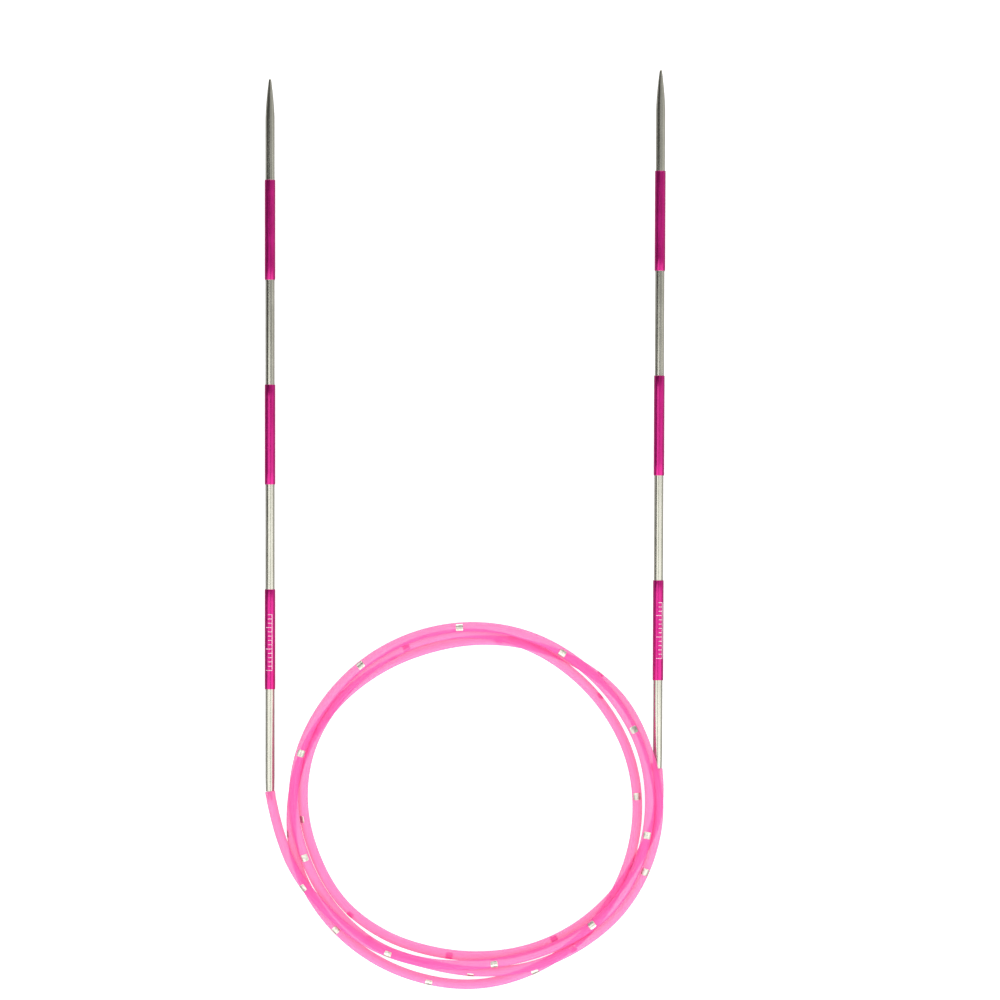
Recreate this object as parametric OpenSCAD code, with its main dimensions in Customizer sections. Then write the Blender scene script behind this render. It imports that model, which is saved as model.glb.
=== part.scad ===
// Circular knitting needle: two metal needles with coloured measuring bands,
// joined by one long flexible cord that lies in three and a half loose turns.
// Millimetres. +X right, +Y towards the points, +Z up, resting on Z = 0.
// The origin is on that surface, at the middle of the box round the two needles.

/* [Needles] */
// Diameter over the coloured bands, which is the needle's gauge size
gauge_d = 2.5; // [2.45:0.05:2.6]
// Diameter of the bare shaft between the bands
shaft_d = 2.15; // [2.0:0.05:2.3]
// Length of the bare shaft above the first band, with the point
tip_l = 23.6; // [18:0.1:26]
// Length of the tapered point
point_l = 9.8; // [6:0.1:14]
// Diameter of the blunt end of the point
point_d = 0.6; // [0.4:0.05:0.9]
// Length of one coloured band
band_l = 23.3; // [18:0.1:24]
// Length of bare shaft between two bands
gap_l = 24.4; // [18:0.1:25]
// Length of the bare neck below the last band on the left needle
left_neck_l = 23.8; // [18:0.1:26]
// Length of the bare neck below the last band on the right needle
right_neck_l = 20.6; // [16:0.1:24]

/* [Joint pins] */
// Diameter of the pin that joins the neck to the cord
pin_d = 0.9; // [0.7:0.05:1.0]
// Length of the pin inside the neck
pin_in_neck_l = 8; // [5:0.5:12]
// Length of the pin inside the cord
pin_in_cord_l = 2; // [1.5:0.1:2.2]

/* [Cord] */
// Outer diameter of the cord
cord_d = 2.3; // [2.0:0.05:2.3]
// Length of each cord end, from the neck to the middle of its bend
cord_end_l = 5; // [4:0.1:6]
// Distance along the cord from the left neck to the first measuring mark
first_mark_l = 23.9; // [10:0.1:30]
// Distance along the cord from one measuring mark to the next
mark_pitch = 25; // [15:0.1:40]
// Diameter of a measuring mark, a foil ring inside the clear cord
mark_d = 1.7; // [1.0:0.1:1.9]
// Length of a measuring mark
mark_l = 1.7; // [1:0.1:4]

/* [Hidden] */

$fn = 48;

silver = [0.78, 0.78, 0.74];
foil = [0.86, 0.86, 0.80];
steel = [0.62, 0.63, 0.65];
magenta = [0.80, 0.06, 0.46];
pink = [1.00, 0.55, 0.78];

// Needles: the end of each neck, and the angle of the axis from +Y.
axis_z = gauge_d / 2;
left_neck_end = [-45.5, -84.1, axis_z];
right_neck_end = [44.8, -78.8, axis_z];
left_lean = 0;
right_lean = -0.28;

// Sleeves, pins and bores.
band_pitch = band_l + gap_l;
band_edge_r = 0.08;
shaft_l_above_neck = tip_l + 3 * band_l + 2 * gap_l;
pin_clearance = 0.05;
neck_taper_l = 3;
neck_end_d = 2;
barb_d = pin_d + 0.3;
barb_l = 0.8;
face_gap = 0.05;

// Cord ends: how far each one leans from its needle's axis as it leaves the neck.
left_exit_angle = 11;
right_exit_angle = 4;
ball_gap = 0.1;

// The loop: its middle, and the height of a strand's centre that lies on the surface.
loop_x = 2.8;
loop_y = -87.4;
lying_z = cord_d / 2 + 0.05;
route_step = 18;
route_start = 198;
cord_sides = 8;

// The route, anticlockwise: [radius, height above lying] every 18 degrees.
// Each turn has 20 points, from 198 degrees round to 180.
turn_1 = [
    [45.2, 2.1], [42.5, 2.3], [40.4, 2.3], [38.3, 2.4], [36.9, 2.0],
    [36.8, 2.2], [37.8, 3.3], [39.2, 4.7], [39.8, 3.6], [40.1, 3.7],
    [40.4, 4.2], [40.4, 2.8], [40.7, 2.5], [41.3, 3.7], [41.7, 3.6],
    [42.0, 3.1], [42.3, 3.6], [42.6, 3.9], [42.9, 3.7], [42.7, 2.5]
];
turn_2 = [
    [41.8, 1.4], [41.1, 0.1], [40.2, 0.0], [38.7, 0.0], [38.7, 0.1],
    [39.3, 2.3], [40.1, 2.9], [41.3, 1.8], [41.9, 1.7], [42.2, 2.5],
    [41.7, 2.3], [41.7, 0.6], [40.6, 0.0], [39.3, 0.0], [38.5, 0.0],
    [38.3, 0.0], [39.1, 0.0], [40.5, 0.0], [42.1, 0.0], [43.2, 0.0]
];
turn_3 = [
    [44.1, 0.0], [43.8, 0.0], [43.1, 0.0], [42.3, 0.0], [41.6, 0.0],
    [40.4, 0.0], [39.2, 0.8], [38.1, 2.4], [37.5, 2.0], [37.3, 0.3],
    [37.3, 0.0], [37.4, 0.1], [38.0, 1.2], [39.1, 2.4], [40.1, 1.9],
    [40.5, 1.3], [40.5, 1.9], [40.7, 2.4], [41.0, 2.3], [40.5, 0.8]
];
turn_4 = [
    [39.5, 0.0], [38.7, 0.0], [37.1, 0.0], [35.6, 0.0], [35.1, 0.0],
    [35.5, 0.0], [36.4, 0.0], [37.7, 0.0], [39.5, 0.0]
];
// Angle, radius and height of the points between each end and the first turn's points.
left_lead = [190, 46.2, 0.9];
right_lead = [1434, 41.6, 0.0];

function unit(v) = v / norm(v);
function turned(v, angle) = [
    v[0] * cos(angle) - v[1] * sin(angle),
    v[0] * sin(angle) + v[1] * cos(angle),
    v[2]
];
// A route point in the frame, from its angle, radius and height.
function laid(p) = [
    loop_x + p[1] * cos(p[0]),
    loop_y + p[1] * sin(p[0]),
    lying_z + p[2]
];
// The middle of a cord end's bend, where the needle swings.
function bend_point(neck_end, lean, exit_angle) =
    neck_end + cord_end_l * turned([0, -1, 0], lean + exit_angle);

turns = concat(turn_1, turn_2, turn_3, turn_4);
left_bend = bend_point(left_neck_end, left_lean, left_exit_angle);
right_bend = bend_point(right_neck_end, right_lean, right_exit_angle);
middle_points = concat(
    [laid(left_lead)],
    [for (i = [0 : len(turns) - 1])
        laid([route_start + route_step * i, turns[i][0], turns[i][1]])],
    [laid(right_lead)]
);
last_middle = middle_points[len(middle_points) - 1];
ball_clear = cord_d / 2 + ball_gap;
route = concat(
    [left_bend + ball_clear * unit(middle_points[0] - left_bend)],
    middle_points,
    [right_bend + ball_clear * unit(last_middle - right_bend)]
);

// Distance along the route at each of its points, and the measuring marks on it.
route_l = [for (i = 0, l = 0; i < len(route);
    l = i < len(route) - 1 ? l + norm(route[i + 1] - route[i]) : l, i = i + 1) l];
marked_l = route_l[len(route) - 1] + cord_end_l + ball_clear - first_mark_l;
mark_count = floor(marked_l / mark_pitch) + 1;

// The stretch of the route that holds the distance l, counted from its start.
function stretch_at(l, i = 0) =
    i == len(route) - 2 || route_l[i + 1] > l ? i : stretch_at(l, i + 1);

// One ring of the swept cord, square to the route at point i.
function ring(points, i) =
    let (
        last = len(points) - 1,
        along = unit(points[min(i + 1, last)] - points[max(i - 1, 0)]),
        side = unit(cross(along, [0, 0, 1])),
        up = cross(side, along)
    )
    [for (k = [0 : cord_sides - 1])
        let (a = 360 * (k + 0.5) / cord_sides)
        points[i] + cord_d / 2 * (cos(a) * side + sin(a) * up)];

// Closed solid swept along the points.
module swept_cord(points) {
    last = len(points) - 1;
    n = cord_sides;
    corners = [for (i = [0 : last]) each ring(points, i)];
    walls = [for (i = [0 : last - 1]) for (k = [0 : n - 1])
        let (
            a = i * n + k,
            b = i * n + (k + 1) % n
        )
        each [[a, b, b + n], [a, b + n, a + n]]];
    start_cap = [for (k = [0 : n - 1]) n - 1 - k];
    end_cap = [for (k = [0 : n - 1]) last * n + k];
    polyhedron(points = corners, faces = concat(walls, [start_cap], [end_cap]));
}

// Turns a profile of [radius, distance] round the needle's axis, which is local Y.
module turned_along_y(profile) {
    rotate([-90, 0, 0])
        rotate_extrude()
            polygon(profile);
}

// Places a child in a needle's own frame: the neck's end at the origin, the point along +Y.
module at_needle(neck_end, lean) {
    translate(neck_end)
        rotate([0, 0, lean])
            children();
}

// Pin: a plain shank in the neck, and a barbed end in the cord.
module pin_solid(extra_r) {
    shank_r = pin_d / 2 + extra_r;
    turned_along_y([
        [0, -pin_in_cord_l],
        [shank_r, -pin_in_cord_l],
        [barb_d / 2 + extra_r, barb_l - pin_in_cord_l],
        [shank_r, barb_l - pin_in_cord_l],
        [shank_r, pin_in_neck_l],
        [0, pin_in_neck_l]
    ]);
}

// Needle shaft: one rod from the drilled neck to the blunt point, with an ogival taper.
module shaft(neck_l) {
    total_l = neck_l + shaft_l_above_neck;
    r = shaft_d / 2;
    blunt_r = point_d / 2;
    taper_steps = 8;
    bore_r = pin_d / 2 + pin_clearance;
    bore_end = pin_in_neck_l + pin_clearance;
    taper = [for (i = [0 : taper_steps])
        let (t = i / taper_steps)
        [blunt_r + (r - blunt_r) * (1 - pow(t, 1.6)), total_l - point_l + (point_l - blunt_r) * t]];
    round_end = [for (a = [30 : 30 : 90]) [blunt_r * cos(a), total_l - blunt_r + blunt_r * sin(a)]];
    turned_along_y(concat(
        [[bore_r, 0], [neck_end_d / 2, 0], [r, neck_taper_l]],
        taper,
        round_end,
        [[0, bore_end], [bore_r, bore_end]]
    ));
}

// Coloured band: a thin hard sleeve with softened ends, closed on the shaft.
module band(from_y) {
    inner_r = shaft_d / 2;
    outer_r = gauge_d / 2;
    turned_along_y([
        [inner_r, from_y],
        [outer_r - band_edge_r, from_y],
        [outer_r, from_y + band_edge_r],
        [outer_r, from_y + band_l - band_edge_r],
        [outer_r - band_edge_r, from_y + band_l],
        [inner_r, from_y + band_l]
    ]);
}

// Cord end: the stretch pushed on the pin, ending in a ball at the middle of its bend.
module cord_end(exit_angle) {
    difference() {
        rotate([0, 0, exit_angle]) {
            rotate([90, 0, 0])
                translate([0, 0, -cord_d])
                    cylinder(h = cord_end_l + cord_d, d = cord_d);
            translate([0, -cord_end_l, 0])
                sphere(d = cord_d);
        }
        translate([-cord_d, -face_gap, -cord_d])
            cube([2 * cord_d, 3 * cord_d, 2 * cord_d]);
        pin_solid(0);
    }
}

// The cord between the two bends, in its three and a half turns.
module cord() {
    color(pink) swept_cord(route);
}

// Measuring marks: equal foil rings along the cord, from the left neck on.
module cord_marks() {
    color(foil)
        for (k = [0 : mark_count - 1]) {
            l = first_mark_l + mark_pitch * k - cord_end_l - ball_clear;
            i = stretch_at(l);
            along = unit(route[i + 1] - route[i]);
            translate(route[i] + (l - route_l[i]) * along)
                rotate([0, acos(along[2]), atan2(along[1], along[0])])
                    cylinder(h = mark_l, d = mark_d, center = true);
        }
}

module left_cord_end() {
    color(pink) at_needle(left_neck_end, left_lean) cord_end(left_exit_angle);
}

module left_pin() {
    color(steel) at_needle(left_neck_end, left_lean) pin_solid(0);
}

module left_shaft() {
    color(silver) at_needle(left_neck_end, left_lean) shaft(left_neck_l);
}

module left_band(place) {
    color(magenta) at_needle(left_neck_end, left_lean) band(left_neck_l + place * band_pitch);
}

module right_cord_end() {
    color(pink) at_needle(right_neck_end, right_lean) cord_end(right_exit_angle);
}

module right_pin() {
    color(steel) at_needle(right_neck_end, right_lean) pin_solid(0);
}

module right_shaft() {
    color(silver) at_needle(right_neck_end, right_lean) shaft(right_neck_l);
}

module right_band(place) {
    color(magenta) at_needle(right_neck_end, right_lean) band(right_neck_l + place * band_pitch);
}

cord();
cord_marks();
left_cord_end();
left_pin();
left_shaft();
left_band(2);  // left_band_top
left_band(1);  // left_band_middle
left_band(0);  // left_band_low
right_cord_end();
right_pin();
right_shaft();
right_band(2);  // right_band_top
right_band(1);  // right_band_middle
right_band(0);  // right_band_low
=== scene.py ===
import math

import bpy
from mathutils import Matrix, Vector


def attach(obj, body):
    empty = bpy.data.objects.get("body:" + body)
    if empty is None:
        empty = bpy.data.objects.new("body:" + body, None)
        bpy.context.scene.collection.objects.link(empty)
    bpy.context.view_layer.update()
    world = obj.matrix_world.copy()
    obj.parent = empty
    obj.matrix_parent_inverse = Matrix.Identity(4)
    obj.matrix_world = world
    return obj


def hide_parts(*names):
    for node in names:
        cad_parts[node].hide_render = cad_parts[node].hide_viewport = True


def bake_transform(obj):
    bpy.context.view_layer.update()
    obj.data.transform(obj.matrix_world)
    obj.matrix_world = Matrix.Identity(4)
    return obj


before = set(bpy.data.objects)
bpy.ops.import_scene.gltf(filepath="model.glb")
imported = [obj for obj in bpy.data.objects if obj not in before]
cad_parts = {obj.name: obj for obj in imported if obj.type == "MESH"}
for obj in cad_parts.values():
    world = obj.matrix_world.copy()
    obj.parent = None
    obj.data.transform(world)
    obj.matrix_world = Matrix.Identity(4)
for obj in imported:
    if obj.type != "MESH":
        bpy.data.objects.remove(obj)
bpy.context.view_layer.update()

# ==================================================================== Camera
# The needle is seen straight from above through a long lens, as on a copy
# stand. The view is a square of the surface that the needle lies on.
view_width = 0.2333
view_middle_x = 0.0081
view_middle_y = -0.0162
lens_mm = 200
sensor_mm = 36

bpy.ops.object.camera_add(
    location=(view_middle_x, view_middle_y, view_width * lens_mm / sensor_mm),
    rotation=(0, 0, 0),
)
camera = bpy.context.object
camera.name = "camera"
camera.data.lens = lens_mm
camera.data.sensor_width = sensor_mm
bpy.context.scene.camera = camera
bpy.context.scene.view_settings.view_transform = "Standard"

# ================================================================== The cord
# One soft clear-pink plastic cord, 2.3 mm thick and 0.9 m long, is pushed on a
# pin at each needle's neck. It springs into three and a half loose turns that
# lie over and under each other.
mm = 0.001
cord_r = 1.15
loop_x = 2.8
loop_y = -87.4
axis_z = 1.25
lying_z = 1.2
left_neck_end = Vector((-45.5, -84.1, axis_z))
right_neck_end = Vector((44.8, -78.8, axis_z))
left_lean = 0.0
right_lean = -0.28
left_exit_angle = 11
right_exit_angle = 4
cord_end_l = 5
route_start = 198
route_step = 18

# The route's points in millimetres, anticlockwise: [radius, height above lying]
# every 18 degrees, 20 points to a turn.
turn_1 = [
    [45.2, 2.1], [42.5, 2.3], [40.4, 2.3], [38.3, 2.4], [36.9, 2.0],
    [36.8, 2.2], [37.8, 3.3], [39.2, 4.7], [39.8, 3.6], [40.1, 3.7],
    [40.4, 4.2], [40.4, 2.8], [40.7, 2.5], [41.3, 3.7], [41.7, 3.6],
    [42.0, 3.1], [42.3, 3.6], [42.6, 3.9], [42.9, 3.7], [42.7, 2.5],
]
turn_2 = [
    [41.8, 1.4], [41.1, 0.1], [40.2, 0.0], [38.7, 0.0], [38.7, 0.1],
    [39.3, 2.3], [40.1, 2.9], [41.3, 1.8], [41.9, 1.7], [42.2, 2.5],
    [41.7, 2.3], [41.7, 0.6], [40.6, 0.0], [39.3, 0.0], [38.5, 0.0],
    [38.3, 0.0], [39.1, 0.0], [40.5, 0.0], [42.1, 0.0], [43.2, 0.0],
]
turn_3 = [
    [44.1, 0.0], [43.8, 0.0], [43.1, 0.0], [42.3, 0.0], [41.6, 0.0],
    [40.4, 0.0], [39.2, 0.8], [38.1, 2.4], [37.5, 2.0], [37.3, 0.3],
    [37.3, 0.0], [37.4, 0.1], [38.0, 1.2], [39.1, 2.4], [40.1, 1.9],
    [40.5, 1.3], [40.5, 1.9], [40.7, 2.4], [41.0, 2.3], [40.5, 0.8],
]
turn_4 = [
    [39.5, 0.0], [38.7, 0.0], [37.1, 0.0], [35.6, 0.0], [35.1, 0.0],
    [35.5, 0.0], [36.4, 0.0], [37.7, 0.0], [39.5, 0.0],
]
# Angle, radius and height of the points between each end and the turns.
left_lead = [190, 46.2, 0.9]
right_lead = [1434, 41.6, 0.0]


def round_loop(point, near_angle):
    """A frame point as [angle, radius, height] about the loop's middle."""
    x = point.x - loop_x
    y = point.y - loop_y
    angle = math.degrees(math.atan2(y, x))
    turns_away = round((near_angle - angle) / 360)
    return [angle + 360 * turns_away, math.hypot(x, y), point.z - lying_z]


def bend_point(neck_end, lean, exit_angle):
    """The middle of a cord end's bend, where the needle swings."""
    a = math.radians(lean + exit_angle)
    return neck_end + cord_end_l * Vector((math.sin(a), -math.cos(a), 0))


turns = turn_1 + turn_2 + turn_3 + turn_4
left_bend = bend_point(left_neck_end, left_lean, left_exit_angle)
right_bend = bend_point(right_neck_end, right_lean, right_exit_angle)
knots = [
    round_loop(left_neck_end, left_lead[0]),
    round_loop(left_bend, left_lead[0]),
    left_lead,
    *[[route_start + route_step * i, r, h] for i, (r, h) in enumerate(turns)],
    right_lead,
    round_loop(right_bend, right_lead[0]),
    round_loop(right_neck_end, right_lead[0]),
]


def slopes(column, flat_at_turns):
    """Slope of a smooth line through one column of the knots, at each knot."""
    steps = [
        (b[column] - a[column]) / (b[0] - a[0])
        for a, b in zip(knots, knots[1:])
    ]
    inner = []
    for before, after in zip(steps, steps[1:]):
        if flat_at_turns and before * after <= 0:
            inner.append(0.0)
        elif flat_at_turns:
            inner.append(2 * before * after / (before + after))
        else:
            inner.append((before + after) / 2)
    return [steps[0], *inner, steps[-1]]


radius_slopes = slopes(1, flat_at_turns=False)
height_slopes = slopes(2, flat_at_turns=True)


def smooth(i, t, column, column_slopes):
    """The line's value at a share t of the way from knot i to the next."""
    span = knots[i + 1][0] - knots[i][0]
    start = knots[i][column] * (2 * t**3 - 3 * t**2 + 1)
    end = knots[i + 1][column] * (3 * t**2 - 2 * t**3)
    leaving = column_slopes[i] * span * (t**3 - 2 * t**2 + t)
    arriving = column_slopes[i + 1] * span * (t**3 - t**2)
    return start + end + leaving + arriving


def lay_route(steps_between_knots=24):
    """The cord's centreline in metres, from the left neck to the right one."""
    points = []
    for i in range(len(knots) - 1):
        for n in range(steps_between_knots):
            t = n / steps_between_knots
            a = math.radians(knots[i][0] + t * (knots[i + 1][0] - knots[i][0]))
            r = smooth(i, t, 1, radius_slopes)
            h = smooth(i, t, 2, height_slopes)
            x = loop_x + r * math.cos(a)
            y = loop_y + r * math.sin(a)
            points.append(mm * Vector((x, y, lying_z + h)))
    return [*points, mm * right_neck_end]


route = lay_route()
route_l = [0.0]
for a, b in zip(route, route[1:]):
    route_l.append(route_l[-1] + (b - a).length)
cord_l = route_l[-1]


def on_route(distance):
    """The centreline's point at a distance from the left neck."""
    i = min(range(len(route_l)), key=lambda n: abs(route_l[n] - distance))
    i = min(max(i - (route_l[i] > distance), 0), len(route) - 2)
    share = (distance - route_l[i]) / (route_l[i + 1] - route_l[i])
    return route[i].lerp(route[i + 1], share)


def directions(distance):
    """Along the cord, out to its right, and up, at a distance from the left neck."""
    reach = 0.4 * mm
    low = min(max(distance - reach, 0), cord_l - 2 * reach)
    along = (on_route(low + 2 * reach) - on_route(low)).normalized()
    side = along.cross(Vector((0, 0, 1))).normalized()
    return along, side, side.cross(along)


# The cut end at a neck: [distance from the cut, spread by the pin inside it].
cut_end = [[0.0, 0.93], [0.06 * mm, 1.01], [0.2 * mm, 1.05], [0.9 * mm, 1.02]]
ring_sides = 24
ring_spacing = 1.3 * mm


def ring_places(from_l, to_l, cut_at):
    """[distance, spread] of each ring of corners on one stretch of the cord."""
    count = math.ceil((to_l - from_l) / ring_spacing)
    rings = [[from_l + (to_l - from_l) * n / count, 1.0] for n in range(count + 1)]
    if cut_at == "start":
        kept = [ring for ring in rings if ring[0] > from_l + ring_spacing / 2]
        return [[from_l + distance, spread] for distance, spread in cut_end] + kept
    if cut_at == "end":
        kept = [ring for ring in rings if ring[0] < to_l - ring_spacing / 2]
        return kept + [[to_l - distance, spread] for distance, spread in reversed(cut_end)]
    return rings


def cord_piece(name, from_l, to_l, cut_at=None):
    """A closed tube along one stretch of the route."""
    rings = ring_places(from_l, to_l, cut_at)
    corners = []
    for distance, spread in rings:
        middle = on_route(distance)
        _, side, up = directions(distance)
        ring_r = cord_r * mm * spread
        for k in range(ring_sides):
            a = 2 * math.pi * k / ring_sides - math.pi / 2
            corners.append(middle + ring_r * (math.cos(a) * side + math.sin(a) * up))
    faces = []
    places = []
    for n in range(len(rings) - 1):
        here = n * ring_sides
        beyond = here + ring_sides
        for k in range(ring_sides):
            after = (k + 1) % ring_sides
            faces.append((here + k, here + after, beyond + after, beyond + k))
            places.append([(n, k), (n, k + 1), (n + 1, k + 1), (n + 1, k)])
    last = len(rings) - 1
    faces.append(tuple(reversed(range(ring_sides))))
    places.append([(0, k) for k in reversed(range(ring_sides))])
    faces.append(tuple(range(last * ring_sides, (last + 1) * ring_sides)))
    places.append([(last, k) for k in range(ring_sides)])
    mesh = bpy.data.meshes.new(name)
    mesh.from_pydata(corners, [], faces)
    run = mesh.uv_layers.new(name="run")
    around_l = 2 * math.pi * cord_r * mm
    for face, spots in zip(mesh.polygons, places):
        for corner, (n, k) in zip(face.loop_indices, spots):
            run.data[corner].uv = (rings[n][0], around_l * k / ring_sides)
    piece = bpy.data.objects.new(name, mesh)
    bpy.context.scene.collection.objects.link(piece)
    return piece


def shade(piece, material, angle=40):
    """Gives a finished piece its material and smooth shading up to an angle."""
    bpy.ops.object.select_all(action="DESELECT")
    piece.select_set(True)
    bpy.context.view_layer.objects.active = piece
    bpy.ops.object.shade_smooth_by_angle(angle=math.radians(angle))
    piece.data.materials.clear()
    piece.data.materials.append(material)


def new_material(name):
    """A material with its node tree, its main shader, and a maker of nodes."""
    material = bpy.data.materials.new(name)
    material.use_nodes = True
    tree = material.node_tree
    shader = tree.nodes["Principled BSDF"]

    def add(kind, **settings):
        node = tree.nodes.new(kind)
        for key, value in settings.items():
            if key in node.inputs:
                node.inputs[key].default_value = value
            else:
                setattr(node, key, value)
        return node

    return material, tree, shader, add


def clear_pink():
    """Soft see-through plastic, tinted pink: faint die lines along it, a little haze."""
    material, tree, shader, add = new_material("clear_pink_cord")
    shader.inputs["IOR"].default_value = 1.46
    shader.inputs["Specular IOR Level"].default_value = 0.3
    shader.inputs["Alpha"].default_value = 0.6
    run = add("ShaderNodeUVMap", uv_map="run")
    stretch = add("ShaderNodeMapping")
    stretch.inputs["Scale"].default_value = (60, 4000, 1)
    die_lines = add("ShaderNodeTexNoise", Scale=1.0, Detail=4.0, Roughness=0.6)
    tree.links.new(run.outputs["UV"], stretch.inputs["Vector"])
    tree.links.new(stretch.outputs["Vector"], die_lines.inputs["Vector"])
    tint = add("ShaderNodeValToRGB")
    tint.color_ramp.elements[0].position = 0.3
    tint.color_ramp.elements[0].color = (1.0, 0.095, 0.43, 1)
    tint.color_ramp.elements[1].position = 0.7
    tint.color_ramp.elements[1].color = (1.0, 0.14, 0.49, 1)
    tree.links.new(die_lines.outputs["Fac"], tint.inputs["Fac"])
    tree.links.new(tint.outputs["Color"], shader.inputs["Base Color"])
    haze = add("ShaderNodeMapRange")
    haze.inputs["To Min"].default_value = 0.25
    haze.inputs["To Max"].default_value = 0.45
    tree.links.new(die_lines.outputs["Fac"], haze.inputs["Value"])
    tree.links.new(haze.outputs["Result"], shader.inputs["Roughness"])
    relief = add("ShaderNodeBump", Strength=0.15, Distance=0.00005)
    tree.links.new(die_lines.outputs["Fac"], relief.inputs["Height"])
    tree.links.new(relief.outputs["Normal"], shader.inputs["Normal"])
    return material


# The first and last measuring marks hide where the bending ends join the loop.
first_mark_l = 23.9 * mm
mark_pitch = 25 * mm
mark_count = 35
last_mark_l = first_mark_l + mark_pitch * (mark_count - 1)

cord_plastic = clear_pink()
loop = cord_piece("cord_loop_tube", first_mark_l, last_mark_l)
left_flex = cord_piece("left_cord_flex", 0.0, first_mark_l, cut_at="start")
right_flex = cord_piece("right_cord_flex", last_mark_l, cord_l, cut_at="end")
for piece in (loop, left_flex, right_flex):
    shade(piece, cord_plastic)
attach(loop, "cord_loop")
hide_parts("cord")
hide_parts("left_cord_end")
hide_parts("right_cord_end")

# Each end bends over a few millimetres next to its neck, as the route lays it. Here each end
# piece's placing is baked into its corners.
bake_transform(left_flex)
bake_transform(right_flex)

# ================================================================= The marks
# Silver foil patches are pressed into the cord every 25 mm, to measure
# knitting by. Each is on one side of the cord, so the cord's twist hides some.
mark_l = 1.65
mark_turn = 45
mark_thickness = 0.02
mark_end_round = 0.10
mark_side_round = 0.06
# How far each mark is turned outwards from straight up, in degrees, from the left
# neck on.
facing = [
    45, 30, 20, -10, 5, 10, -15, 0, 15, -10,
    5, 180, 70, 180, 10, 170, 115, 180, 110, 180,
    85, 15, 40, 45, 180, 0, 115, 180, 180, 180,
    55, 125, 150, 180, 0,
]


def foil_patch():
    """One foil patch at the origin: X along the cord, curved round it, facing +Z."""
    bpy.ops.object.select_all(action="DESELECT")
    bpy.ops.mesh.primitive_grid_add(x_subdivisions=8, y_subdivisions=14, size=1)
    patch = bpy.context.object
    outer_r = cord_r + mark_thickness
    for v in patch.data.vertices:
        x, y = 2 * v.co.x, 2 * v.co.y
        x *= 1 - mark_end_round * y**4
        y *= 1 - mark_side_round * x**4
        a = math.radians(mark_turn) * y
        across = outer_r * math.sin(a)
        v.co = mm * Vector((mark_l / 2 * x, across, outer_r * math.cos(a)))
    wall = patch.modifiers.new("foil", "SOLIDIFY")
    wall.thickness = mark_thickness * mm
    wall.offset = -1
    bpy.ops.object.modifier_apply(modifier="foil")
    return patch


def silver_foil():
    """Thin hot-pressed silver foil, slightly crinkled and worn."""
    material, tree, shader, add = new_material("silver_foil")
    shader.inputs["Metallic"].default_value = 1.0
    place = add("ShaderNodeTexCoord")
    crinkle = add("ShaderNodeTexNoise", Scale=1800.0, Detail=3.0, Roughness=0.6)
    tree.links.new(place.outputs["Object"], crinkle.inputs["Vector"])
    tone = add("ShaderNodeValToRGB")
    tone.color_ramp.elements[0].position = 0.35
    tone.color_ramp.elements[0].color = (0.46, 0.44, 0.37, 1)
    tone.color_ramp.elements[1].position = 0.6
    tone.color_ramp.elements[1].color = (0.74, 0.73, 0.65, 1)
    tree.links.new(crinkle.outputs["Fac"], tone.inputs["Fac"])
    tree.links.new(tone.outputs["Color"], shader.inputs["Base Color"])
    gloss = add("ShaderNodeMapRange")
    gloss.inputs["To Min"].default_value = 0.22
    gloss.inputs["To Max"].default_value = 0.5
    tree.links.new(crinkle.outputs["Fac"], gloss.inputs["Value"])
    tree.links.new(gloss.outputs["Result"], shader.inputs["Roughness"])
    relief = add("ShaderNodeBump", Strength=0.3, Distance=0.00003)
    tree.links.new(crinkle.outputs["Fac"], relief.inputs["Height"])
    tree.links.new(relief.outputs["Normal"], shader.inputs["Normal"])
    return material


def copy_to(pattern, places, name):
    """Copies a pattern to each place with its own mesh, joined in one piece."""
    copies = []
    for place in places:
        copied = bpy.data.objects.new(name, pattern.data.copy())
        copied.data.transform(place)
        bpy.context.scene.collection.objects.link(copied)
        copies.append(copied)
    bpy.data.objects.remove(pattern)
    bpy.ops.object.select_all(action="DESELECT")
    for copied in copies:
        copied.select_set(True)
    bpy.context.view_layer.objects.active = copies[0]
    bpy.ops.object.join()
    copies[0].name = name
    return copies[0]


mark_places = []
for k, turn in enumerate(facing):
    distance = first_mark_l + mark_pitch * k
    along, side, up = directions(distance)
    lie = Matrix((along, -side, up)).transposed().to_4x4()
    spin = Matrix.Rotation(math.radians(turn), 4, "X")
    mark_places.append(Matrix.Translation(on_route(distance)) @ lie @ spin)
marks = copy_to(foil_patch(), mark_places, "cord_foil_marks")
shade(marks, silver_foil())
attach(marks, "cord_loop")
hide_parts("cord_marks")

# ================================================================== The pins
# A plain steel pin joins each neck to the cord, barbed where the cord holds
# it. It stays as it is made, and only its metal's finish is added.


def turned_steel():
    """Bright steel with fine turning lines round the pin."""
    material, tree, shader, add = new_material("turned_steel")
    shader.inputs["Metallic"].default_value = 1.0
    place = add("ShaderNodeTexCoord")
    stretch = add("ShaderNodeMapping")
    stretch.inputs["Scale"].default_value = (300, 9000, 300)
    lines = add("ShaderNodeTexNoise", Scale=1.0, Detail=3.0)
    tree.links.new(place.outputs["Object"], stretch.inputs["Vector"])
    tree.links.new(stretch.outputs["Vector"], lines.inputs["Vector"])
    tone = add("ShaderNodeValToRGB")
    tone.color_ramp.elements[0].color = (0.42, 0.42, 0.43, 1)
    tone.color_ramp.elements[1].color = (0.66, 0.66, 0.67, 1)
    tree.links.new(lines.outputs["Fac"], tone.inputs["Fac"])
    tree.links.new(tone.outputs["Color"], shader.inputs["Base Color"])
    gloss = add("ShaderNodeMapRange")
    gloss.inputs["To Min"].default_value = 0.25
    gloss.inputs["To Max"].default_value = 0.45
    tree.links.new(lines.outputs["Fac"], gloss.inputs["Value"])
    tree.links.new(gloss.outputs["Result"], shader.inputs["Roughness"])
    return material


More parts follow.
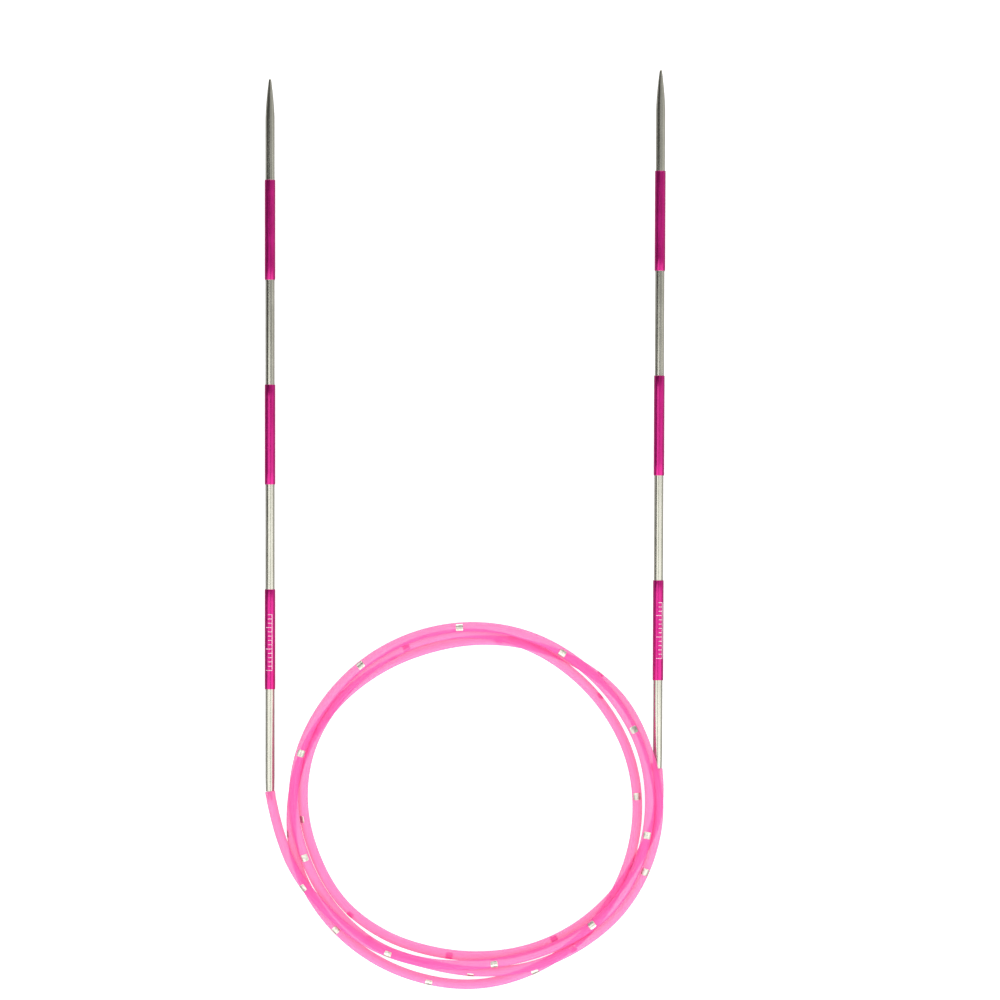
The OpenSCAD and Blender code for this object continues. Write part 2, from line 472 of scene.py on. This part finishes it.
pin_steel = turned_steel()
pins = [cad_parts["left_pin"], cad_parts["right_pin"]]
for pin in pins:
    pin.data.materials.clear()
    pin.data.materials.append(pin_steel)

# ================================================================ The shafts
# Each needle is one drawn metal rod, 2.15 mm thick. Its neck is drilled for
# the pin and slightly narrowed, and its other end is ground to a blunt point.
shaft_r = 1.075
point_curve = 1.6
tip_l = 23.6
point_l = 9.8
point_r = 0.3
band_l = 23.3
gap_l = 24.4
left_neck_l = 23.8
right_neck_l = 20.6
bore_r = 0.5
bore_l = 8.05
neck_end_r = 1.0
neck_taper_l = 3
drill_tip_r = 0.3
drill_tip_l = 0.15
bore_chamfer = 0.06
rim_round = 0.08
taper_ease_l = 0.3
taper_ease_r = 0.01
closed_r = 0.01
left_place = Matrix.Translation(mm * left_neck_end)
right_turn = Matrix.Rotation(math.radians(right_lean), 4, "Z")
right_place = Matrix.Translation(mm * right_neck_end) @ right_turn


def lathe(name, profile, place, sides=64):
    """A part turned about local Y: a disc, extruded and scaled along the profile."""
    bpy.ops.object.select_all(action="DESELECT")
    first_r, first_y = profile[0]
    bpy.ops.mesh.primitive_circle_add(
        vertices=sides,
        radius=first_r * mm,
        fill_type="NGON",
        location=(0, first_y * mm, 0),
        rotation=(math.pi / 2, 0, 0),
    )
    part = bpy.context.object
    part.name = name
    part.data.name = name
    bpy.ops.object.transform_apply(location=True, rotation=True, scale=True)
    bpy.ops.object.mode_set(mode="EDIT")
    bpy.ops.mesh.select_all(action="SELECT")
    for (r_before, y_before), (r, y) in zip(profile, profile[1:]):
        bpy.ops.mesh.extrude_region_move(
            TRANSFORM_OT_translate={"value": (0, (y - y_before) * mm, 0)}
        )
        bpy.ops.transform.resize(value=(r / r_before, 1, r / r_before))
    bpy.ops.mesh.select_all(action="SELECT")
    bpy.ops.mesh.normals_make_consistent(inside=False)
    bpy.ops.object.mode_set(mode="OBJECT")
    part.data.transform(place)
    return part


def shaft_profile(neck_l):
    """The rod's [radius, distance], from the bore's bottom out and up to the point."""
    total_l = neck_l + 3 * band_l + 2 * gap_l + tip_l
    taper_start = total_l - point_l
    steps = 24
    bore = [
        [drill_tip_r, bore_l],
        [bore_r, bore_l - drill_tip_l],
        [bore_r, bore_chamfer],
        [bore_r + bore_chamfer, 0.0],
    ]
    rim = [[neck_end_r - rim_round, 0.0], [neck_end_r - rim_round / 4, 0.03], [neck_end_r, 0.1]]
    neck = [
        [neck_end_r + taper_ease_r, taper_ease_l],
        [shaft_r - taper_ease_r, neck_taper_l - taper_ease_l],
        [shaft_r, neck_taper_l + taper_ease_l],
    ]
    straight = [[shaft_r, taper_start / 2], [shaft_r, taper_start - 0.4]]
    profile = bore + rim + neck + straight
    for n in range(steps + 1):
        t = n / steps
        r = point_r + (shaft_r - point_r) * (1 - t**point_curve)
        profile.append([r, taper_start + (point_l - point_r) * t])
    for a in range(15, 90, 15):
        r = point_r * math.cos(math.radians(a))
        profile.append([r, total_l - point_r + point_r * math.sin(math.radians(a))])
    profile.append([closed_r, total_l])
    return profile


def drawn_metal():
    """Nickel-bright drawn metal: hair-fine lines along the rod, duller where handled."""
    material, tree, shader, add = new_material("drawn_metal")
    shader.inputs["Metallic"].default_value = 1.0
    place = add("ShaderNodeTexCoord")
    stretch = add("ShaderNodeMapping")
    stretch.inputs["Scale"].default_value = (9000, 60, 9000)
    lines = add("ShaderNodeTexNoise", Scale=1.0, Detail=2.0, Roughness=0.5)
    patches = add("ShaderNodeTexNoise", Scale=160.0, Detail=2.0)
    tree.links.new(place.outputs["Object"], stretch.inputs["Vector"])
    tree.links.new(place.outputs["Object"], patches.inputs["Vector"])
    tree.links.new(stretch.outputs["Vector"], lines.inputs["Vector"])
    mixed = add("ShaderNodeMath", operation="MULTIPLY_ADD")
    mixed.inputs[1].default_value = 0.45
    tree.links.new(patches.outputs["Fac"], mixed.inputs[0])
    tree.links.new(lines.outputs["Fac"], mixed.inputs[2])
    tone = add("ShaderNodeValToRGB")
    tone.color_ramp.elements[0].position = 0.45
    tone.color_ramp.elements[0].color = (0.46, 0.455, 0.385, 1)
    tone.color_ramp.elements[1].position = 0.95
    tone.color_ramp.elements[1].color = (0.63, 0.62, 0.54, 1)
    tree.links.new(mixed.outputs["Value"], tone.inputs["Fac"])
    tree.links.new(tone.outputs["Color"], shader.inputs["Base Color"])
    gloss = add("ShaderNodeMapRange")
    gloss.inputs["From Min"].default_value = 0.4
    gloss.inputs["From Max"].default_value = 1.0
    gloss.inputs["To Min"].default_value = 0.12
    gloss.inputs["To Max"].default_value = 0.24
    tree.links.new(mixed.outputs["Value"], gloss.inputs["Value"])
    tree.links.new(gloss.outputs["Result"], shader.inputs["Roughness"])
    relief = add("ShaderNodeBump", Strength=0.05, Distance=0.00002)
    tree.links.new(lines.outputs["Fac"], relief.inputs["Height"])
    tree.links.new(relief.outputs["Normal"], shader.inputs["Normal"])
    return material


metal = drawn_metal()
needles = [
    ["left", left_place, left_neck_l],
    ["right", right_place, right_neck_l],
]
for side_name, place, neck_l in needles:
    rod = lathe(side_name + "_needle_rod", shaft_profile(neck_l), place)
    shade(rod, metal, angle=30)
    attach(rod, side_name + "_needle")
    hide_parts(side_name + "_shaft")

# ================================================================= The bands
# Three thin magenta-lacquered metal sleeves are closed on each rod at equal
# distances. Their cut edges are softened, and worn a little by the yarn.
gauge_r = 1.25
edge_r = 0.08
lining = 0.005
inner_inset = 0.01


def band_profile(from_y):
    """The sleeve's [radius, distance], with a rounded edge at each end."""
    to_y = from_y + band_l
    outer = []
    for a in (0, 30, 60, 90):
        inset = edge_r * (1 - math.sin(math.radians(a)))
        rise = edge_r * (1 - math.cos(math.radians(a)))
        outer.append([gauge_r - inset, from_y + rise])
    mirrored = [[r, from_y + to_y - y] for r, y in reversed(outer)]
    middle = [[gauge_r, from_y + band_l * n / 8] for n in range(1, 8)]
    inner_r = shaft_r + lining
    inner_start = [inner_r, from_y + inner_inset]
    inner_end = [inner_r, to_y - inner_inset]
    return [inner_start, *outer, *middle, *mirrored, inner_end]


def run_along(piece, place, from_y, to_y):
    """Gives a piece a map whose V runs from 0 to 1 along it, and U round it."""
    back = place.inverted()
    run = piece.data.uv_layers.new(name="run")
    for corner in piece.data.loops:
        co = back @ piece.data.vertices[corner.vertex_index].co / mm
        around = math.atan2(co.z, co.x) / (2 * math.pi)
        run.data[corner.index].uv = (around, (co.y - from_y) / (to_y - from_y))


def magenta_lacquer():
    """Clear magenta lacquer over bright metal, deeper in places, thin at the ends."""
    material, tree, shader, add = new_material("magenta_lacquer")
    shader.inputs["Metallic"].default_value = 0.92
    shader.inputs["Coat Weight"].default_value = 0.35
    shader.inputs["Coat Roughness"].default_value = 0.12
    place = add("ShaderNodeTexCoord")
    stretch = add("ShaderNodeMapping")
    stretch.inputs["Scale"].default_value = (5000, 100, 5000)
    lines = add("ShaderNodeTexNoise", Scale=1.0, Detail=3.0)
    clouds = add("ShaderNodeTexNoise", Scale=220.0, Detail=3.0)
    tree.links.new(place.outputs["Object"], stretch.inputs["Vector"])
    tree.links.new(place.outputs["Object"], clouds.inputs["Vector"])
    tree.links.new(stretch.outputs["Vector"], lines.inputs["Vector"])
    depth = add("ShaderNodeMath", operation="MULTIPLY_ADD")
    depth.inputs[1].default_value = 0.5
    tree.links.new(clouds.outputs["Fac"], depth.inputs[0])
    tree.links.new(lines.outputs["Fac"], depth.inputs[2])
    tone = add("ShaderNodeValToRGB")
    tone.color_ramp.elements[0].position = 0.45
    tone.color_ramp.elements[0].color = (0.49, 0.005, 0.165, 1)
    tone.color_ramp.elements[1].position = 1.0
    tone.color_ramp.elements[1].color = (0.66, 0.015, 0.26, 1)
    tree.links.new(depth.outputs["Value"], tone.inputs["Fac"])
    run = add("ShaderNodeUVMap", uv_map="run")
    split = add("ShaderNodeSeparateXYZ")
    tree.links.new(run.outputs["UV"], split.inputs["Vector"])
    from_middle = add("ShaderNodeMath", operation="SUBTRACT")
    from_middle.inputs[1].default_value = 0.5
    tree.links.new(split.outputs["Y"], from_middle.inputs[0])
    to_end = add("ShaderNodeMath", operation="ABSOLUTE")
    tree.links.new(from_middle.outputs["Value"], to_end.inputs[0])
    ragged = add("ShaderNodeMath", operation="MULTIPLY_ADD")
    ragged.inputs[1].default_value = 0.012
    tree.links.new(lines.outputs["Fac"], ragged.inputs[0])
    tree.links.new(to_end.outputs["Value"], ragged.inputs[2])
    worn = add("ShaderNodeMapRange")
    worn.inputs["From Min"].default_value = 0.502
    worn.inputs["From Max"].default_value = 0.508
    worn.inputs["To Max"].default_value = 0.45
    tree.links.new(ragged.outputs["Value"], worn.inputs["Value"])
    colour = add("ShaderNodeMix", data_type="RGBA")
    colour.inputs["B"].default_value = (0.75, 0.45, 0.52, 1)
    tree.links.new(worn.outputs["Result"], colour.inputs["Factor"])
    tree.links.new(tone.outputs["Color"], colour.inputs["A"])
    tree.links.new(colour.outputs["Result"], shader.inputs["Base Color"])
    gloss = add("ShaderNodeMapRange")
    gloss.inputs["From Min"].default_value = 0.4
    gloss.inputs["To Min"].default_value = 0.18
    gloss.inputs["To Max"].default_value = 0.34
    tree.links.new(depth.outputs["Value"], gloss.inputs["Value"])
    tree.links.new(gloss.outputs["Result"], shader.inputs["Roughness"])
    relief = add("ShaderNodeBump", Strength=0.08, Distance=0.00002)
    tree.links.new(lines.outputs["Fac"], relief.inputs["Height"])
    tree.links.new(relief.outputs["Normal"], shader.inputs["Normal"])
    return material


lacquer = magenta_lacquer()
for side_name, place, neck_l in needles:
    for n, height in enumerate(["low", "middle", "top"]):
        from_y = neck_l + n * (band_l + gap_l)
        band = lathe(f"{side_name}_sleeve_{height}", band_profile(from_y), place)
        run_along(band, place, from_y, from_y + band_l)
        shade(band, lacquer, angle=50)
        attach(band, side_name + "_needle")
        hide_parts(f"{side_name}_band_{height}")

# ================================================================= The scale
# A fine scale is printed in pale ink on the lowest band of each needle: one
# line along the needle, and a tick every millimetre with each fifth longer.
tick_pitch = 1.0
tick_count = 14
long_tick_l = 1.5
short_tick_l = 0.95
scale_side = 0.75
ink_r = gauge_r + 0.008
ink_w = 0.14


def ink_stroke(length, width):
    """A flat stroke of ink at the origin, X across the needle and Y along it."""
    bpy.ops.object.select_all(action="DESELECT")
    bpy.ops.mesh.primitive_grid_add(x_subdivisions=8, y_subdivisions=2, size=1)
    stroke = bpy.context.object
    for v in stroke.data.vertices:
        v.co = Vector((v.co.x * length, v.co.y * width, 0))
    return stroke


def wrap_on_band(piece, from_middle):
    """Wraps flat ink round the needle's axis, turned a little from straight up."""
    for v in piece.data.vertices:
        a = v.co.x / gauge_r + math.radians(from_middle)
        v.co = mm * Vector((ink_r * math.sin(a), v.co.y, ink_r * math.cos(a)))


def pale_ink():
    """Pale grey-pink printing ink, thin and slightly broken."""
    material, tree, shader, add = new_material("pale_ink")
    place = add("ShaderNodeTexCoord")
    grain = add("ShaderNodeTexNoise", Scale=4000.0, Detail=2.0)
    tree.links.new(place.outputs["Object"], grain.inputs["Vector"])
    tone = add("ShaderNodeValToRGB")
    tone.color_ramp.elements[0].position = 0.35
    tone.color_ramp.elements[0].color = (0.55, 0.35, 0.42, 1)
    tone.color_ramp.elements[1].position = 0.55
    tone.color_ramp.elements[1].color = (0.80, 0.70, 0.74, 1)
    tree.links.new(grain.outputs["Fac"], tone.inputs["Fac"])
    tree.links.new(tone.outputs["Color"], shader.inputs["Base Color"])
    gloss = add("ShaderNodeMapRange")
    gloss.inputs["To Min"].default_value = 0.35
    gloss.inputs["To Max"].default_value = 0.6
    tree.links.new(grain.outputs["Fac"], gloss.inputs["Value"])
    tree.links.new(gloss.outputs["Result"], shader.inputs["Roughness"])
    return material


ink = pale_ink()
# Each scale's needle, the distance of its first tick from the neck's end, and
# how far it is turned from straight up, in degrees.
scales = [
    ["left", left_place, 28.2, -10],
    ["right", right_place, 25.7, 12],
]
for side_name, place, start_y, turn in scales:
    strokes = []
    for n in range(tick_count):
        tick_l = long_tick_l if n % 5 == 0 else short_tick_l
        tick_middle = (scale_side - tick_l / 2, start_y + n * tick_pitch, 0)
        tick = ink_stroke(tick_l, ink_w)
        tick.data.transform(Matrix.Translation(tick_middle))
        strokes.append(tick)
    scale_l = (tick_count - 1) * tick_pitch
    line = ink_stroke(ink_w, scale_l + ink_w)
    line.data.transform(Matrix.Translation((scale_side, start_y + scale_l / 2, 0)))
    strokes.append(line)
    bpy.ops.object.select_all(action="DESELECT")
    for stroke in strokes:
        stroke.select_set(True)
    bpy.context.view_layer.objects.active = line
    bpy.ops.object.join()
    line.name = side_name + "_printed_scale"
    wrap_on_band(line, turn)
    line.data.transform(place)
    shade(line, ink)
    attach(line, side_name + "_needle")

# ================================================================== The room
# A plain pale sheet under six soft boxes. It glows as seen directly, and not in
# reflections, so that the metal mirrors a darker room. The far end of the
# needles lies under the dimmest box.
bpy.ops.object.select_all(action="DESELECT")
bpy.ops.mesh.primitive_plane_add(size=8, location=(0, 0, 0))
floor = bpy.context.object
floor.name = "floor"
paper, paper_tree, paper_shader, paper_add = new_material("white_paper")
paper_shader.inputs["Base Color"].default_value = (0.48, 0.48, 0.48, 1)
paper_shader.inputs["Roughness"].default_value = 0.9
paper_shader.inputs["Specular IOR Level"].default_value = 0.1
paper_shader.inputs["Emission Color"].default_value = (1, 1, 1, 1)
ray = paper_add("ShaderNodeLightPath")
glow = paper_add("ShaderNodeMapRange")
glow.inputs["To Min"].default_value = 0.9
glow.inputs["To Max"].default_value = 0.0
paper_tree.links.new(ray.outputs["Is Glossy Ray"], glow.inputs["Value"])
paper_tree.links.new(glow.outputs["Result"], paper_shader.inputs["Emission Strength"])
floor.data.materials.append(paper)

# Each box's name, its sides in X and in Y, its height, and its brightness.
soft_boxes = [
    ["left_soft_box", -0.40, -0.03, -0.8, 0.04, 0.4, 1.7],
    ["right_soft_box", 0.04, 1.2, -0.8, 0.0, 0.4, 1.6],
    ["neck_soft_box", -1.2, -0.40, -0.8, -0.06, 0.4, 1.3],
    ["upper_soft_box", -0.06, 1.2, 0.0, 0.5, 0.4, 0.36],
    ["far_soft_box", -1.0, 1.0, 0.7, 1.5, 0.5, 5.0],
    ["near_soft_box", -1.0, 1.0, -1.5, -0.9, 0.5, 5.0],
]
for name, from_x, to_x, from_y, to_y, height, brightness in soft_boxes:
    middle = ((from_x + to_x) / 2, (from_y + to_y) / 2, height)
    bpy.ops.object.light_add(type="AREA", location=middle)
    light = bpy.context.object
    light.name = name
    light.data.shape = "RECTANGLE"
    light.data.size = to_x - from_x
    light.data.size_y = to_y - from_y
    light.data.energy = brightness * math.pi * light.data.size * light.data.size_y
    light.visible_camera = False

# The sky is pale as seen directly. Elsewhere it is dim, with a bright right side.
world = bpy.data.worlds.new("room")
bpy.context.scene.world = world
world.use_nodes = True
world_tree = world.node_tree
sky = world_tree.nodes["Background"]
sky_place = world_tree.nodes.new("ShaderNodeTexCoord")
sky_split = world_tree.nodes.new("ShaderNodeSeparateXYZ")
world_tree.links.new(sky_place.outputs["Generated"], sky_split.inputs["Vector"])
sky_tone = world_tree.nodes.new("ShaderNodeMapRange")
sky_tone.inputs["From Min"].default_value = 0.8
sky_tone.inputs["From Max"].default_value = 1.0
sky_tone.inputs["To Min"].default_value = 0.09
sky_tone.inputs["To Max"].default_value = 0.8
world_tree.links.new(sky_split.outputs["X"], sky_tone.inputs["Value"])
sky_ray = world_tree.nodes.new("ShaderNodeLightPath")
sky_seen = world_tree.nodes.new("ShaderNodeMath")
sky_seen.operation = "MAXIMUM"
world_tree.links.new(sky_ray.outputs["Is Camera Ray"], sky_seen.inputs[0])
world_tree.links.new(sky_tone.outputs["Result"], sky_seen.inputs[1])
world_tree.links.new(sky_seen.outputs["Value"], sky.inputs["Strength"])
sky.inputs["Color"].default_value = (0.96, 0.96, 0.92, 1)
